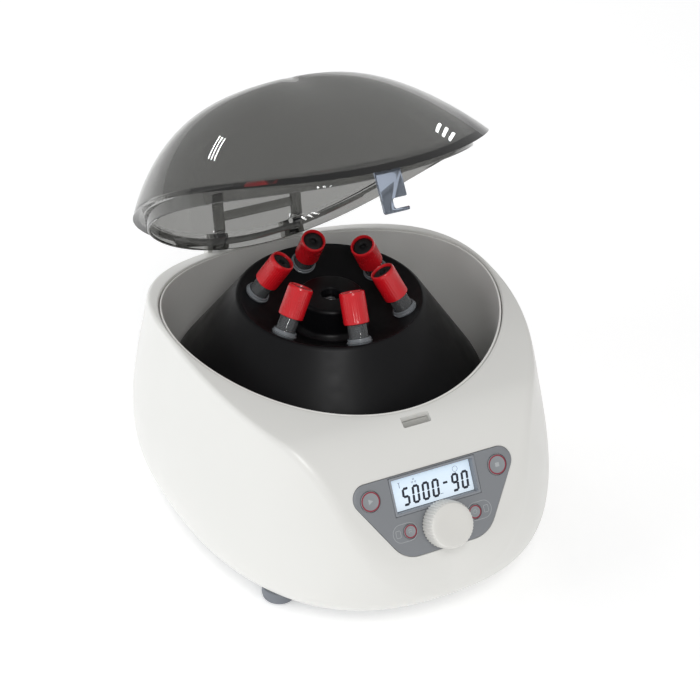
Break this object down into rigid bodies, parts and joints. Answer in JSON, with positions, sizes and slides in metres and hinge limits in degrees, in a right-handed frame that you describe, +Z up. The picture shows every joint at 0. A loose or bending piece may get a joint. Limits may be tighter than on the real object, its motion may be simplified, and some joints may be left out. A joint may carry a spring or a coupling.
{
  "type": "laboratory centrifuge",
  "caption": "Benchtop laboratory centrifuge with a hinged clear lid, an angled rotor holding capped blood tubes, and a sloping control panel with a display, keys and a knob.",
  "frame": {"origin": "middle of the footprint at the underside of the feet", "axes": "+Z up, -Y to the front with the control panel, +X to the right seen from the front"},
  "size_m": [0.261, 0.3248, 0.2902],
  "materials": {
    "white_body": "satin moulded, faint orange-peel",
    "liner": "satin",
    "foot": "matte",
    "seal": "matte",
    "motor": "satin",
    "inner_steel": "brushed",
    "panel_grey": "satin film",
    "bezel": "satin",
    "screen": "backlit liquid crystal behind a clear window",
    "circuit_board": "solder mask",
    "black_plastic": "fine grain",
    "smoke_lid": "clear smoked, polished",
    "rotor_black": "black anodised, satin",
    "knob_cream": "satin",
    "button_grey": "satin film",
    "sleeve": "translucent white",
    "tube_glass": "clear",
    "cap_red": "semi-gloss",
    "stopper_rubber": "matte"
  },
  "bodies": {
    "housing": {"upper_housing": "white_body", "base_plate": "inner_steel", "foot_front_left": "foot", "foot_front_right": "foot", "foot_rear_left": "foot", "foot_rear_right": "foot", "chamber_liner": "liner", "shaft_boot": "seal", "motor_body": "motor", "motor_bracket": "inner_steel", "motor_damper_1": "seal", "motor_damper_2": "seal", "motor_damper_3": "seal", "hinge_pin_left": "inner_steel", "hinge_pin_right": "inner_steel", "control_panel": "panel_grey", "display_bezel": "bezel", "display_module": "screen", "control_board": "circuit_board", "latch_solenoid": "motor", "power_inlet": "black_plastic", "switch_frame": "black_plastic", "power_board": "circuit_board"},
    "lid": {"lid_shell": "smoke_lid", "lid_latch_tab": "smoke_lid", "lid_hinge_frame": "smoke_lid"},
    "spinner": {"motor_shaft": "inner_steel", "rotor": "rotor_black", "rotor_nut": "inner_steel", "tube_sleeve_1": "sleeve", "tube_sleeve_2": "sleeve", "tube_sleeve_3": "sleeve", "tube_sleeve_4": "sleeve", "tube_sleeve_5": "sleeve", "tube_sleeve_6": "sleeve"},
    "tube_1": {"blood_tube_1": "tube_glass", "tube_cap_1": "cap_red", "tube_stopper_1": "stopper_rubber"},
    "tube_2": {"blood_tube_2": "tube_glass", "tube_cap_2": "cap_red", "tube_stopper_2": "stopper_rubber"},
    "tube_3": {"blood_tube_3": "tube_glass", "tube_cap_3": "cap_red", "tube_stopper_3": "stopper_rubber"},
    "tube_4": {"blood_tube_4": "tube_glass", "tube_cap_4": "cap_red", "tube_stopper_4": "stopper_rubber"},
    "tube_5": {"blood_tube_5": "tube_glass", "tube_cap_5": "cap_red", "tube_stopper_5": "stopper_rubber"},
    "tube_6": {"blood_tube_6": "tube_glass", "tube_cap_6": "cap_red", "tube_stopper_6": "stopper_rubber"},
    "knob": {"speed_knob": "knob_cream"},
    "start_key": {"button_start": "button_grey"},
    "stop_key": {"button_stop": "button_grey"},
    "speed_key": {"button_speed": "button_grey"},
    "time_key": {"button_time": "button_grey"},
    "latch": {"latch_bolt": "inner_steel"},
    "rocker": {"switch_rocker": "black_plastic"}
  },
  "joints": [
    {"name": "lid_hinge", "type": "hinge", "parent": "housing", "child": "lid", "pos_m": [0, 0.14647, 0.1244], "axis": [-1, 0, 0], "range_deg": [-38.4, 31.6]},
    {"name": "rotor_spin", "type": "hinge", "parent": "housing", "child": "spinner", "pos_m": [0, 0.02247, 0.1], "axis": [0, 0, 1], "continuous": true},
    {"name": "tube_lift_1", "type": "slide", "parent": "spinner", "child": "tube_1", "axis": [-0.4633, -0.225, 0.8572], "range_m": [0, 0.025]},
    {"name": "tube_lift_2", "type": "slide", "parent": "spinner", "child": "tube_2", "axis": [-0.0368, -0.5137, 0.8572], "range_m": [0, 0.025]},
    {"name": "tube_lift_3", "type": "slide", "parent": "spinner", "child": "tube_3", "axis": [0.4265, -0.2888, 0.8572], "range_m": [0, 0.025]},
    {"name": "tube_lift_4", "type": "slide", "parent": "spinner", "child": "tube_4", "axis": [0.4633, 0.225, 0.8572], "range_m": [0, 0.025]},
    {"name": "tube_lift_5", "type": "slide", "parent": "spinner", "child": "tube_5", "axis": [0.0368, 0.5137, 0.8572], "range_m": [0, 0.025]},
    {"name": "tube_lift_6", "type": "slide", "parent": "spinner", "child": "tube_6", "axis": [-0.4265, 0.2888, 0.8572], "range_m": [0, 0.025]},
    {"name": "knob_turn", "type": "hinge", "parent": "housing", "child": "knob", "pos_m": [0, -0.14242, 0.07804], "axis": [0, -0.8387, 0.5446], "continuous": true},
    {"name": "start_press", "type": "slide", "parent": "housing", "child": "start_key", "axis": [0, 0.8387, -0.5446], "range_m": [0, 0.0007], "stiffness_N_per_m": 900, "springref_m": -0.0006},
    {"name": "stop_press", "type": "slide", "parent": "housing", "child": "stop_key", "axis": [0, 0.8387, -0.5446], "range_m": [0, 0.0007], "stiffness_N_per_m": 900, "springref_m": -0.0006},
    {"name": "speed_press", "type": "slide", "parent": "housing", "child": "speed_key", "axis": [0, 0.8387, -0.5446], "range_m": [0, 0.0007], "stiffness_N_per_m": 900, "springref_m": -0.0006},
    {"name": "time_press", "type": "slide", "parent": "housing", "child": "time_key", "axis": [0, 0.8387, -0.5446], "range_m": [0, 0.0007], "stiffness_N_per_m": 900, "springref_m": -0.0006},
    {"name": "latch_slide", "type": "slide", "parent": "housing", "child": "latch", "axis": [-1, 0, 0], "range_m": [0, 0.009], "stiffness_N_per_m": 250, "springref_m": -0.002},
    {"name": "rocker_tilt", "type": "hinge", "parent": "housing", "child": "rocker", "pos_m": [0.02287, 0.1561, 0.042], "axis": [0, 0, -1], "range_deg": [0, 14]}
  ]
}
